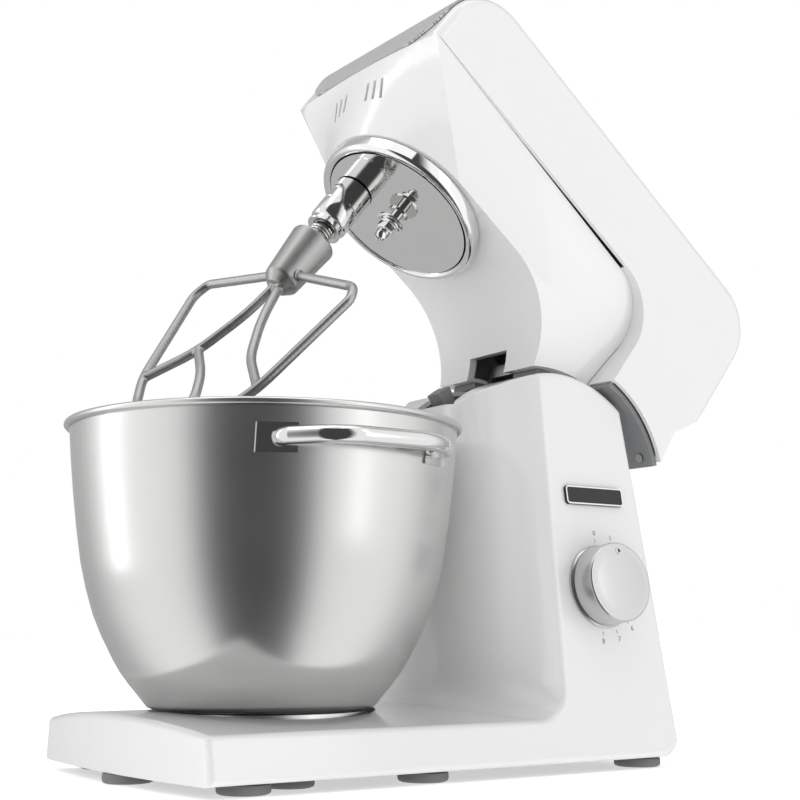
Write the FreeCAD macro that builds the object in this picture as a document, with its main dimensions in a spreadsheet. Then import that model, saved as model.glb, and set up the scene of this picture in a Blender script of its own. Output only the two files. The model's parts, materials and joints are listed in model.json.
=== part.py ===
"""Tilt-head stand mixer: housing, tilting head with planetary drive, flat beater and steel bowl.

Frame: millimetres, +Z up, floor at Z = 0, the bowl axis is the Z axis, the bowl end points to -Y and
the speed knob is on the +X side. The head is drawn closed (level) and then turned up about its hinge.
"""
import FreeCAD, Part
import math
import os
import re

import Sketcher

os.makedirs("parts", exist_ok=True)
doc = FreeCAD.newDocument("stand_mixer")
V = FreeCAD.Vector
UP = V(0, 0, 1)
ACROSS = V(1, 0, 0)
ALONG = V(0, 1, 0)

# Driving dimensions, millimetres and degrees
SIZES = {
    # housing
    "foot_r": 14.4, "foot_tall": 9, "base_low": 6, "side_half": 108, "side_lean": 0.155,
    "front_y": -97, "corner_y": -89, "back_y": 239, "edge_top": 31, "crown": 7, "wall": 3,
    "col_front": 122, "col_crease": 147, "col_lean": 0.05, "col_rear_lean": 0.055, "col_high": 252,
    "sweep_r": 22, "heel_r": 14, "edge_r": 4, "plate_t": 3,
    # hinge
    "hinge_y": 175, "hinge_z": 173, "dome_r": 74, "tilt": 38.7, "pin_r": 5, "arm_in": 13, "arm_t": 5,
    "run": 0.04, "gap": 0.35,
    # head
    "head_half": 82, "head_top": 385, "crease_z": 323, "chin_z": 277, "nose_y": -80, "tail_y": 236,
    "leg_y": 160, "top_r": 36, "head_arc": 81, "liner_t": 3.5, "chin_r": 61, "neck_y": 125,
    "neck_half": 47, "brow_rear": 75, "head_edge": 7, "chin_bow": 2, "grille_t": 1.5, "panel_half": 76,
    "panel_corner": 30,
    # planetary drive
    "disc_z": 266, "disc_r": 51.5, "ring_r": 58, "orbit": 33, "orbit_turn": 34, "tooth": 1.5,
    "ring_teeth": 60, "planet_teeth": 16, "shaft_r": 13, "shaft_long": 38, "stem_r": 6,
    "gear_tooth": 1.25, "main_teeth": 66, "pinion_teeth": 14, "belt_pitch": 3, "wheel_teeth": 90,
    "nose_teeth": 15, "idler_y": 50, "motor_y": 140, "motor_r": 36, "main_r": 7,
    # beater
    "hub_r": 15.5, "hub_low_r": 12, "hub_high": 38, "hub_drop": 50, "beat_half": 74, "bar_r": 3.1, "beat_low": 216,
    "beat_turn": 16,
    # bowl
    "rim_r": 120, "rim_z": 206, "bowl_wall": 1.2, "bowl_low": 37, "bowl_flat": 64, "lip_r": 2.4,
    "seat_z": 28, "seat_r": 67, "foot_ring_r": 62, "grip_r": 5, "grip_out": 137, "grip_z": 184,
    "grip_half": 52, "grip_bar": 31,
    # controls
    "knob_y": 188, "knob_z": 110, "knob_r": 24.5, "knob_out": 19, "badge_y": 191, "badge_z": 167,
    "badge_long": 48, "badge_high": 12, "button_z": 196, "button_r": 9, "board_y": 210,
}

dims = doc.addObject("Spreadsheet::Sheet", "dims")
for row, (alias, size) in enumerate(SIZES.items(), start=1):
    cell = "A%d" % row
    dims.set(cell, str(size))
    dims.setAlias(cell, alias)
doc.recompute()

finished = {}


def bound(text):
    """The expression with each sheet name written in full."""
    return re.sub(r"\b([a-z][a-z_]*)\b(?!\()", r"dims.\1", text)


def val(text):
    """The present value of an expression in sheet names."""
    return float(dims.evalExpression(bound(text)))


def mover(x="0", y="0", z="0", axis=UP, angle=0.0):
    """A placement from expressions and a turn in degrees."""
    return FreeCAD.Placement(V(val(x), val(y), val(z)), FreeCAD.Rotation(axis, angle))


def head_up():
    """The placement that turns the closed head up about its hinge to the resting pose."""
    centre = V(0, val("hinge_y"), val("hinge_z"))
    return FreeCAD.Placement(V(0, 0, 0), FreeCAD.Rotation(ACROSS, -val("tilt")), centre)


def finish(thing, label, place=None, head=False):
    """Names a sub-part and sets it in its place, turned up with the head where it rides on it."""
    thing.Label = label
    spot = place or thing.Placement
    thing.Placement = head_up().multiply(spot) if head else spot
    finished[label] = thing
    return thing


def new_body(name):
    return doc.addObject("PartDesign::Body", name)


def sketch(body, name, role, corners, lift="0"):
    """A closed outline on one of the body's origin planes. A corner is (x, y), or (x, y, radius) where
    the edge that leaves it is an arc: the radius is positive where the arc turns left."""
    drawn = body.newObject("Sketcher::SketchObject", name)
    plane = [f for f in body.Origin.OriginFeatures if f.Role == role][0]
    drawn.AttachmentSupport = [(plane, "")]
    drawn.MapMode = "FlatFace"
    drawn.setExpression("AttachmentOffset.Base.z", bound(lift) if lift != "0" else "0 mm")
    spots = [V(val(corner[0]), val(corner[1]), 0) for corner in corners]
    for i, corner in enumerate(corners):
        here = spots[i]
        there = spots[(i + 1) % len(spots)]
        if len(corner) == 3:
            radius = val(corner[2])
            chord = there - here
            left = V(-chord.y, chord.x, 0).normalize() * (1 if radius > 0 else -1)
            rise = abs(radius) - math.sqrt(max(radius ** 2 - (chord.Length / 2) ** 2, 0))
            drawn.addGeometry(Part.Arc(here, (here + there) * 0.5 - left * rise, there), False)
        else:
            drawn.addGeometry(Part.LineSegment(here, there), False)
    for i, corner in enumerate(corners):
        start = 1 if drawn.getPoint(i, 1).distanceToPoint(spots[i]) < 1e-6 else 2
        before = (i - 1) % len(corners)
        end = 1 if drawn.getPoint(before, 1).distanceToPoint(spots[i]) < 1e-6 else 2
        drawn.addConstraint(Sketcher.Constraint("Coincident", before, end, i, start))
        for kind, text, size in (("DistanceX", corner[0], spots[i].x), ("DistanceY", corner[1], spots[i].y)):
            number = drawn.addConstraint(Sketcher.Constraint(kind, -1, 1, i, start, size))
            drawn.setExpression("Constraints[%d]" % number, bound(text))
        if len(corner) == 3:
            number = drawn.addConstraint(Sketcher.Constraint("Radius", i, abs(val(corner[2]))))
            drawn.setExpression("Constraints[%d]" % number, "abs(" + bound(corner[2]) + ")")
    return drawn


def padded(name, role, corners, length, lift="0", both=False, flip=False):
    """A body padded from one outline."""
    body = new_body(name)
    outline = sketch(body, name + "_outline", role, corners, lift)
    pad = body.newObject("PartDesign::Pad", name + "_pad")
    pad.Profile = outline
    pad.setExpression("Length", bound(length))
    pad.Midplane = both
    pad.Reversed = flip
    outline.Visibility = False
    return body


def turned(name, corners):
    """A body turned about its own Z axis from an outline in its XZ plane."""
    body = new_body(name)
    outline = sketch(body, name + "_outline", "XZ_Plane", corners)
    spin = body.newObject("PartDesign::Revolution", name + "_spin")
    spin.Profile = outline
    spin.ReferenceAxis = (outline, ["V_Axis"])
    spin.Angle = 360
    return body


def rod(name, radius, height, z="0", x="0", y="0"):
    """A plain cylinder along Z."""
    bar = doc.addObject("Part::Cylinder", name)
    bar.setExpression("Radius", bound(radius))
    bar.setExpression("Height", bound(height))
    bar.Placement = mover(x, y, z)
    return bar


def cross_rod(name, radius, length, x, y, z):
    """A plain cylinder along X that starts at x."""
    bar = rod(name, radius, length)
    bar.Placement = mover(x, y, z, ALONG, 90)
    return bar


def block(name, low, size):
    """A plain box from its low corner."""
    brick = doc.addObject("Part::Box", name)
    for side, text in zip(("Length", "Width", "Height"), size):
        brick.setExpression(side, bound(text))
    brick.Placement = mover(*low)
    return brick


def ring(name, outer, inner, height, z="0", x="0", y="0"):
    """A plain tube along Z."""
    return cut(name, rod(name + "_outer", outer, height, z, x, y),
               rod(name + "_inner", inner, height + " + 2", z + " - 1", x, y))


def cut(name, base, *tools):
    """The base with each tool cut away."""
    for number, tool in enumerate(tools):
        made = doc.addObject("Part::Cut", "%s_%d" % (name, number))
        made.Base = base
        made.Tool = tool
        base = made
    return base


def fuse(name, *pieces):
    made = doc.addObject("Part::MultiFuse", name)
    made.Shapes = list(pieces)
    made.Refine = True
    return made


def common(name, *pieces):
    made = doc.addObject("Part::MultiCommon", name)
    made.Shapes = list(pieces)
    return made


def shaped(name, shape):
    """A piece whose form needs Part's own functions."""
    made = doc.addObject("Part::Feature", name)
    made.Shape = shape
    return made


def group(name, shapes):
    return shaped(name, Part.makeCompound(shapes))


def bent_bar(points, radius):
    """A round bar bent through the points, each bend an arc."""
    edges = []
    at = points[0]
    for before, corner, after in zip(points, points[1:], points[2:]):
        into = (corner - before).normalize()
        out = (after - corner).normalize()
        turn = into.getAngle(out)
        reach = min((corner - at).Length * 0.45, (after - corner).Length * 0.45)
        first = corner - into * reach
        last = corner + out * reach
        size = reach / math.tan(turn / 2)
        inward = (out - into).normalize()
        mid = corner + inward * (size / math.cos(turn / 2) - size)
        edges.append(Part.makeLine(at, first))
        edges.append(Part.Arc(first, mid, last).toShape())
        at = last
    edges.append(Part.makeLine(at, points[-1]))
    start = (points[1] - points[0]).normalize()
    mouth = Part.Wire(Part.makeCircle(radius, points[0], start))
    return Part.Wire(edges).makePipeShell([mouth], True, False)


def is_sharp(shape, edge):
    """True where the two faces beside an edge meet at an angle."""
    mid = edge.valueAt((edge.FirstParameter + edge.LastParameter) / 2)
    beside = shape.ancestorsOfType(edge, Part.Face)
    normals = [face.normalAt(*face.Surface.parameter(mid)) for face in beside]
    return len(normals) == 2 and abs(normals[0].dot(normals[1])) < 0.97


def rounded(name, base, radius, chosen):
    """Rounds the sharp edges of the base that the test picks by their box."""
    doc.recompute()
    made = doc.addObject("Part::Fillet", name)
    made.Base = base
    size = val(radius)
    shape = base.Shape
    made.Edges = [(number, size, size) for number, edge in enumerate(shape.Edges, start=1)
                  if chosen(edge.BoundBox) and is_sharp(shape, edge)]
    doc.recompute()
    return made


# ---------------------------------------------------------------- housing

def side_at(z):
    """Half the housing's width at a height: both sides lean in evenly."""
    return "(side_half - side_lean * (%s - base_low))" % z


def column_loft(name, inset, low, high):
    """The column: its front bows towards the bowl, and all four faces lean in."""
    body = new_body(name)
    outlines = []
    for tag, z in (("low", low), ("high", high)):
        half = side_at(z) + " - " + inset
        crease = "col_crease + col_lean * (%s - base_low) + %s" % (z, inset)
        rear = "back_y - col_rear_lean * (%s - base_low) - %s" % (z, inset)
        bulge = "(col_crease + col_lean * (%s - base_low) - col_front - 0.018 * (%s - base_low))" % (z, z)
        bow = "((%s)^2 + %s^2) / (2 * %s)" % (half, bulge, bulge)
        corners = [("-(%s)" % half, crease, bow), (half, crease), (half, rear), ("-(%s)" % half, rear)]
        outlines.append(sketch(body, name + "_" + tag, "XY_Plane", corners, z))
    loft = body.newObject("PartDesign::AdditiveLoft", name + "_loft")
    loft.Profile = outlines[0]
    loft.Sections = outlines[1:]
    loft.Ruled = True
    return body


def slab(name, inset, top_cut):
    """The base under the bowl: bowed front, leaning sides and a crowned top."""
    plan = padded(name + "_plan", "XY_Plane",
                  [("-side_half - 5", "corner_y + %s" % inset,
                    "((side_half + 5)^2 + (corner_y - front_y)^2) / (2 * (corner_y - front_y))"),
                   ("side_half + 5", "corner_y + %s" % inset),
                   ("side_half + 5", "col_crease + 30"),
                   ("-side_half - 5", "col_crease + 30")],
                  "edge_top + crown", "base_low")
    edge = side_at("edge_top") + " - " + inset
    foot = "side_half - " + inset
    arc = "((%s)^2 + crown^2) / (2 * crown)" % edge
    front = padded(name + "_front", "XZ_Plane",
                   [("-(%s)" % foot, "base_low"), (foot, "base_low"), (edge, "edge_top - %s" % top_cut, arc),
                    ("-(%s)" % edge, "edge_top - %s" % top_cut)],
                   "1000", both=True)
    return common(name, plan, front)


def dome_limit(name, radius):
    """Everything under the column's round top, which is turned about the hinge."""
    barrel = cross_rod(name + "_barrel", radius, "400", "-200", "hinge_y", "hinge_z")
    below = block(name + "_below", ("-200", "-200", "-10"), ("400", "600", "hinge_z + 10"))
    return fuse(name, barrel, below)


def hinge_slot(name, low, high, half, inner, outer):
    """A curved window about the hinge between two angles from the vertical, forward negative."""
    centre = V(0, val("hinge_y"), val("hinge_z"))
    start = V(0, 0, 1)
    turn = FreeCAD.Rotation(ACROSS, -low)
    face = Part.makePolygon([centre + turn.multVec(start * r) + ACROSS * x for r, x in
                             ((inner, -half), (outer, -half), (outer, half), (inner, half), (inner, -half))])
    solid = Part.Face(face).revolve(centre, ACROSS, -(high - low))
    return shaped(name, solid)


def housing():
    heel = padded("heel_limit", "YZ_Plane",
                  [("0", "base_low"), ("back_y - heel_r", "base_low", "heel_r"), ("back_y", "base_low + heel_r"),
                   ("back_y", "300"), ("0", "300")], "400", both=True)
    outer = fuse("housing_outer", slab("slab", "0", "0"),
                 common("column", column_loft("column_skin", "0", "base_low", "col_high"),
                        dome_limit("dome", "dome_r"), heel))

    def at_junction(box):
        return (val("edge_top") - 3 < box.ZMin and box.ZMax < val("edge_top + crown") + 6
                and box.XLength > 60 and 60 < box.YMin and box.YMax < val("col_crease") + 5)

    swept = rounded("housing_swept", outer, "sweep_r", at_junction)
    soft = rounded("housing_soft", swept, "edge_r", lambda box: box.ZMax > val("base_low") + 1)
    hollow = fuse("housing_hollow", slab("slab_hollow", "wall", "wall"),
                  common("column_hollow", column_loft("column_core", "wall", "base_low", "col_high"),
                         dome_limit("dome_core", "dome_r - wall")))
    seat = rod("seat_recess", "seat_r + gap", "60", "seat_z - 4 - gap")
    window = hinge_slot("arm_window", -40, 37, val("arm_in + arm_t") + 3, val("dome_r") - 12, val("dome_r") + 10)
    knob_hole = cross_rod("knob_hole", "5.5", "60", "60", "knob_y", "knob_z")
    button_hole = cross_rod("button_hole", "button_r + gap", "60", "-120", "hinge_y", "button_z")
    cord_hole = rod("cord_hole", "6.5", "40")
    cord_hole.Placement = mover("-60", "back_y - 25", "24", ACROSS, -90)
    return cut("base_housing_cut", soft, hollow, seat, window, knob_hole, button_hole, cord_hole)




def foot_spots():
    """One foot under the front edge and the rest in mirrored pairs."""
    spots = [(0.0, val("front_y") + 13)]
    for x, y in ((88, -60), (72, -24), (88, 54), (88, 219)):
        spots += [(float(x), float(y)), (-float(x), float(y))]
    return spots


def base_parts():
    finish(housing(), "base_housing")

    plan = padded("plate_plan", "XY_Plane",
                  [("-side_half + 8", "corner_y + 6"), ("side_half - 8", "corner_y + 6"),
                   ("side_half - 8", "back_y - heel_r"), ("-side_half + 8", "back_y - heel_r")],
                  "plate_t", "base_low")
    finish(plan, "base_plate")

    feet = []
    for x, y in foot_spots():
        pad = Part.makeCone(val("foot_r") - 1, val("foot_r"), 2, V(x, y, 0))
        stem = Part.makeCylinder(val("foot_r"), val("base_low") - 2 - 0.1, V(x, y, 2))
        feet.append(pad.fuse(stem).removeSplitter())
    finish(group("feet_group", feet), "rubber_feet")

    seat = turned("seat_body", [("0", "-4"), ("seat_r", "-4"), ("seat_r", "4"), ("seat_r - 2", "4"),
                                ("seat_r - 2", "0"), ("foot_ring_r - 8", "0"), ("foot_ring_r - 8", "5"),
                                ("0", "5")])
    finish(seat, "bowl_seat", mover("0", "0", "seat_z"))


def bowl_parts():
    """The deep bowl: its wall leans out quickly at the bottom and stands nearly straight at the rim."""
    floor = val("bowl_low")
    stations = [(0, floor), (val("bowl_flat") - 8, floor), (val("bowl_flat") + 8, floor + 9),
                (87.4, floor + 29.6), (99.5, floor + 55.5), (107.5, floor + 85.6),
                (113.3, floor + 127.8), (val("rim_r") - 3.4, val("rim_z") - 3)]
    wall = val("bowl_wall")
    outer = Part.BSplineCurve()
    outer.interpolate([V(r, 0, z) for r, z in stations[1:]])
    inner = Part.BSplineCurve()
    inner.interpolate([V(r - wall * 0.9, 0, z + wall * 0.5) for r, z in stations[1:]])
    start_out = outer.StartPoint
    start_in = inner.StartPoint
    loop = Part.Wire([Part.makeLine(V(0, 0, floor), start_out), outer.toShape(),
                      Part.makeLine(outer.EndPoint, inner.EndPoint), inner.toShape(),
                      Part.makeLine(start_in, V(0, 0, start_in.z)),
                      Part.makeLine(V(0, 0, start_in.z), V(0, 0, floor))])
    shell = Part.Face(loop).revolve(V(0, 0, 0), UP, 360)
    lip = Part.makeTorus(val("rim_r") - val("lip_r"), val("lip_r"), V(0, 0, val("rim_z") - val("lip_r")))
    finish(shaped("bowl_shape", shell.fuse(lip).removeSplitter()), "bowl")

    foot = turned("bowl_foot_body", [("foot_ring_r - 5", "seat_z + gap"), ("foot_ring_r", "seat_z + gap"),
                                     ("foot_ring_r", "bowl_low - 0.05"), ("foot_ring_r - 5", "bowl_low - 0.05")])
    finish(foot, "bowl_foot_ring")

    half = val("grip_half")
    out = val("grip_out")
    high = val("grip_z")
    plate_low = high - 8
    wall_lean = 0.086
    wall_r = 113.3 + wall_lean * (plate_low - floor - 127.8)
    outer_plate = Part.makeCone(wall_r + 1.6, wall_r + 1.6 + 16 * wall_lean, 16, V(0, 0, plate_low))
    inner_plate = Part.makeCone(wall_r + 0.35, wall_r + 0.35 + 16 * wall_lean, 16, V(0, 0, plate_low))
    band = outer_plate.cut(inner_plate)
    plates = [band.common(Part.makeBox(60, 20, 16, V(80, side * half - 10, plate_low))) for side in (-1, 1)]
    finish(group("plate_pair", plates), "handle_plates")
    near = math.sqrt((wall_r + 1.7 + 8 * wall_lean) ** 2 - (half - val("grip_r")) ** 2)
    bar_half = val("grip_bar")
    tube = bent_bar([V(near, -half, high), V(near + 6, -half, high), V(out, -bar_half, high),
                     V(out, bar_half, high), V(near + 6, half, high), V(near, half, high)], val("grip_r"))
    finish(shaped("grip_shape", tube), "bowl_handle")


def control_parts():
    lean = math.degrees(math.atan(val("side_lean")))
    face_x = "side_half - side_lean * (knob_z - base_low)"
    out = mover(face_x, "knob_y", "knob_z", ALONG, 90 - lean)
    ring_shape = turned("bezel_body", [("6", "gap"), ("knob_r + 1.2", "gap"), ("knob_r + 1.2", "1.6"),
                                       ("knob_r + 0.4", "2.4"), ("6", "2.4")])
    finish(ring_shape, "knob_bezel", out)
    knob = turned("knob_body", [("0", "2.8"), ("knob_r", "2.8"), ("knob_r", "knob_out - 1"),
                                ("knob_r - 1", "knob_out"), ("0", "knob_out + 1.5")])
    stem = rod("knob_stem", "3", "32", "-29")
    dimple = rod("knob_dimple", "1.8", "6", "knob_out - 0.5")
    dimple.setExpression("Placement.Base.x", bound("knob_r * -0.8"))
    finish(cut("knob_whole", fuse("knob_join", knob, stem), dimple), "speed_knob", out)
    switch = ring("switch_case", "12", "3 + run", "12", "-22")
    finish(switch, "speed_switch", out)

    badge = padded("badge_body", "XY_Plane",
                   [("-badge_high / 2", "-badge_long / 2"), ("badge_high / 2", "-badge_long / 2"),
                    ("badge_high / 2", "badge_long / 2"), ("-badge_high / 2", "badge_long / 2")], "1.8")
    badge_round = rounded("badge_round", badge, "2.5",
                          lambda box: box.ZLength > 1.5)
    badge_x = "side_half - side_lean * (badge_z - base_low)"
    finish(badge_round, "badge_plaque", mover(badge_x + " + 0.1", "badge_y", "badge_z", ALONG, 90 - lean))

    board = block("board_block", ("-40", "board_y", "40"), ("80", "1.6", "90"))
    finish(board, "control_board")
    face_y = val("board_y") + 1.65
    parts = [Part.makeBox(16, 10, 24, V(-30, face_y, 50)), Part.makeBox(26, 9, 18, V(-4, face_y, 90)),
             Part.makeCylinder(8, 11, V(20, face_y, 60), ALONG)]
    finish(group("board_parts", parts), "board_components")
    gland = ring("gland_shape", "9", "3.2", "4")
    neck = ring("gland_neck", "6.2", "3.2", "10", "-9")
    finish(fuse("gland_join", gland, neck), "cord_gland",
           mover("-60", "back_y - col_rear_lean * (24 - base_low) + 0.7", "24", ACROSS, -90))
    button = turned("button_body", [("0", "-14"), ("button_r", "-14"), ("button_r", "4"),
                                    ("button_r - 1.5", "5.5"), ("0", "6.5")])
    shank = rod("button_shank", "3", "22", "-36")
    side = "-(side_half - side_lean * (button_z - base_low))"
    finish(fuse("button_join", button, shank), "release_button", mover(side, "hinge_y", "button_z", ALONG, -90))
    coil = ring("button_coil", "6", "4.4", "10", "-29")
    finish(coil, "button_spring", mover(side, "hinge_y", "button_z", ALONG, -90))


def hinge_parts():
    cheek = [("hinge_y - 22", "base_low + plate_t + 0.1"), ("hinge_y + 22", "base_low + plate_t + 0.1"),
             ("hinge_y + 14", "hinge_z + 13"), ("hinge_y - 14", "hinge_z + 13")]
    inner = "arm_in + arm_t + 1"
    cheeks = []
    for tag, low in (("left", "-(%s) - 4" % inner), ("right", inner)):
        cheeks.append(padded("cheek_" + tag, "YZ_Plane", cheek, "4", low))
    tie = block("stand_tie", ("-(%s) - 4" % inner, "hinge_y - 20", "base_low + plate_t + 0.1"),
                ("2 * (%s) + 8" % inner, "40", "4"))
    bore = cross_rod("stand_bore", "pin_r + 3", "100", "-50", "hinge_y", "hinge_z")
    finish(cut("stand_cut", fuse("stand_join", *cheeks, tie), bore), "hinge_stand")
    bushes = []
    for low in (val(inner), -val(inner) - 4):
        outer = Part.makeCylinder(val("pin_r") + 3, 4, V(low, val("hinge_y"), val("hinge_z")), ACROSS)
        hole = Part.makeCylinder(val("pin_r"), 6, V(low - 1, val("hinge_y"), val("hinge_z")), ACROSS)
        bushes.append(outer.cut(hole))
    finish(group("bush_group", bushes), "hinge_bushes")
    finish(cross_rod("pin_rod", "pin_r", "2 * (%s) + 12" % inner, "-(%s) - 6" % inner, "hinge_y", "hinge_z"),
           "hinge_pin")

    def wedge(name, low, high, inner_r, outer_r, start, thick):
        centre = V(start, val("hinge_y"), val("hinge_z"))
        turn = FreeCAD.Rotation(ACROSS, -low)
        ray = turn.multVec(UP)
        corners = [centre + ray * inner_r, centre + ray * outer_r, centre + ray * outer_r + ACROSS * thick,
                   centre + ray * inner_r + ACROSS * thick, centre + ray * inner_r]
        return Part.Face(Part.makePolygon(corners)).revolve(centre, ACROSS, -(high - low))

    pin_hole = Part.makeCylinder(val("pin_r + run"), 80, V(-40, val("hinge_y"), val("hinge_z")), ACROSS)
    boss = Part.makeCylinder(10, 12, V(-6, val("hinge_y"), val("hinge_z")), ACROSS)
    tab = wedge("tab", -37, -29, 8, val("head_arc") - 0.4, -6, 12)
    finish(shaped("tab_shape", tab.fuse(boss).cut(pin_hole).removeSplitter()), "latch_tab")

    arms = []
    for start in (val("arm_in"), -val("arm_in + arm_t")):
        lever = wedge("arm", -30, -8, 2, val("head_arc") + 12, start, val("arm_t"))
        eye = Part.makeCylinder(12, val("arm_t"), V(start, val("hinge_y"), val("hinge_z")), ACROSS)
        arms.append(lever.fuse(eye))
    tie_arms = wedge("arm tie", -30, -8, val("head_arc") + 4, val("head_arc") + 12,
                     -val("arm_in + arm_t"), 2 * val("arm_in + arm_t"))
    arms_whole = arms[0].fuse([arms[1], tie_arms]).cut(pin_hole).removeSplitter()
    finish(shaped("arms_shape", arms_whole), "hinge_arms", head=True)



# ---------------------------------------------------------------- head, drawn closed

def brow_outline(inset):
    """The head's upper outline seen from the side, inset evenly, with the hinge arc left uncut."""
    i = " - " + inset
    p = " + " + inset
    leg = "leg_y" + p
    return [("nose_y" + p, "crease_z"), ("nose_y" + p, "head_top - top_r", "-(top_r%s)" % i),
            ("nose_y + top_r", "head_top" + i), ("tail_y - top_r", "head_top" + i, "-(top_r%s)" % i),
            ("tail_y" + i, "head_top - top_r"), ("tail_y" + i, "crease_z - 15"),
            ("tail_y - 3" + i, "crease_z - 38"), ("tail_y - 15" + i, "crease_z - 60"),
            ("tail_y - 11" + i, "hinge_z + 50"), (leg, "hinge_z + 50"), (leg, "crease_z - 38", "38" + p),
            ("leg_y - 38", "crease_z")]


def arc_cutter(name, radius):
    return cross_rod(name, radius, "400", "-200", "hinge_y", "hinge_z")


def brow(name, inset, arc):
    half = "head_half - " + inset
    prism = padded(name + "_prism", "YZ_Plane", brow_outline(inset), "2 * (%s)" % half, both=True)
    return cut(name + "_cut", prism, arc_cutter(name + "_arc", arc))


def chin_loft(name, inset):
    """The chin: round about the bowl axis below and as wide as the brow above."""
    body = new_body(name)
    outlines = []
    for tag, z, half, rear_half, front, side_y in (
            ("neck", "chin_z - 60", "neck_half", "neck_half", "-(chin_r - 3)", "0"),
            ("low", "chin_z", "chin_r", "chin_r", "-chin_r", "0"),
            ("high", "crease_z + 0.5", "head_half - 0.3", "brow_rear", "nose_y - chin_bow", "nose_y")):
        wide = "(%s - %s)" % (half, inset)
        tail = "(%s - %s)" % (rear_half, inset)
        nose = "(%s + %s)" % (front, inset)
        deep = "(%s - %s)" % (side_y, nose)
        bow = "(%s^2 + %s^2) / (2 * %s) * 1.0005" % (wide, deep, deep)
        corners = [("-" + wide, side_y, bow), (wide, side_y), (tail, "leg_y + 9"), ("-" + tail, "leg_y + 9")]
        outlines.append(sketch(body, name + "_" + tag, "XY_Plane", corners, z))
    loft = body.newObject("PartDesign::AdditiveLoft", name + "_loft")
    loft.Profile = outlines[0]
    loft.Sections = outlines[1:]
    loft.Ruled = True
    return body


def chin(name, inset, arc, rear="leg_y - 0.2"):
    """The head's lower body: flat over the planetary disc, sweeping down into the neck."""
    throat = "neck_y - 59"
    side = padded(name + "_side", "YZ_Plane",
                  [("nose_y - 20", "crease_z - gap"), ("nose_y - 20", "chin_z + %s" % inset),
                   ("59", "chin_z + %s" % inset, "-(%s - %s)" % (throat, inset)),
                   ("neck_y + %s" % inset, "chin_z - (%s)" % throat),
                   ("neck_y + %s" % inset, "hinge_z + 30"), (rear, "hinge_z + 30"),
                   (rear, "crease_z - gap")], "400", both=True)
    return cut(name + "_cut", common(name + "_block", side, chin_loft(name + "_loft", inset)),
               arc_cutter(name + "_arc", arc))


def arm_window(name, half, inner, outer):
    """The way through the closed head's arc for the hinge arms."""
    return hinge_slot(name, -42, -3, val(half), val(inner), val(outer))


def head_shells():
    above = rounded("brow_soft", brow("brow", "0", "head_arc + gap"), "head_edge",
                    lambda box: box.ZMax > val("crease_z") + 1 and box.XLength < 30)
    hollow = brow("brow_core", "wall", "head_arc + gap")
    arm_way = ("arm_in + arm_t + 2", "head_arc - 3", "head_arc + 16")
    room = chin("chin_room", "-gap", "head_arc", "leg_y + wall + 2")
    finish(cut("brow_shell", above, hollow, room, arm_window("brow_way", *arm_way)), "head_upper_shell",
           head=True)

    below = chin("chin", "0", "head_arc + gap")
    core = chin("chin_core", "wall", "head_arc + wall")
    disc_hole = rod("disc_hole", "disc_r + 2", "20", "chin_z - 5")
    slots = []
    for side in (-1, 1):
        for n in range(3):
            slots.append(block("slot_%d_%d" % (side + 1, n),
                               (str(side * 20 + (n - 1) * 7 - 1.25), "-90", "chin_z + 22"), ("2.5", "40", "12")))
    finish(cut("chin_shell", below, core, disc_hole, arm_window("chin_way", *arm_way), *slots),
           "head_lower_shell", head=True)


def front_and_liner():
    straight = "panel_half - panel_corner"
    face = padded("panel_face", "XZ_Plane",
                  [("-(%s)" % straight, "crease_z + 0.5"), (straight, "crease_z + 0.5", "panel_corner"),
                   ("panel_half", "crease_z + 0.5 + panel_corner"), ("panel_half", "head_top - 6"),
                   ("-panel_half", "head_top - 6"),
                   ("-panel_half", "crease_z + 0.5 + panel_corner", "panel_corner")], "1000", both=True)
    near = block("panel_near", ("-100", "nose_y - 20", "crease_z"), ("200", "48", "100"))
    skin = common("panel_skin", brow("panel_out", "-(gap + grille_t)", "head_arc"), face, near)
    finish(cut("panel", skin, brow("panel_in", "-gap", "head_arc")), "front_grille", head=True)

    centre = V(0, val("hinge_y"), val("hinge_z"))

    def sector(low, high, inner, outer, half):
        ray = FreeCAD.Rotation(ACROSS, -low).multVec(UP)
        loop = [centre + ray * r + ACROSS * x for r, x in
                ((inner, -half), (outer, -half), (outer, half), (inner, half), (inner, -half))]
        return Part.Face(Part.makePolygon(loop)).revolve(centre, ACROSS, -(high - low))

    outer = val("head_arc")
    inner = val("head_arc - liner_t")
    strip = sector(-10, 38, inner, outer, val("head_half") - 4).fuse(
        sector(-36, 0, inner, outer, val("neck_half") - 2)).removeSplitter()
    window = sector(-42, -3, inner - 2, outer + 2, val("arm_in + arm_t") + 3)
    notch = sector(-70, -30, inner - 2, outer + 2, 9)
    finish(shaped("liner_shape", strip.cut(window).cut(notch)), "hinge_liner", head=True)

    screws = []
    for x in (-68, 68):
        ray = FreeCAD.Rotation(ACROSS, -33).multVec(UP)
        screws.append(Part.makeCylinder(3, 1.2, centre + ray * (inner - 1.35) + ACROSS * x, ray))
    finish(group("liner_screw_group", screws), "liner_screws", head=True)


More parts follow.
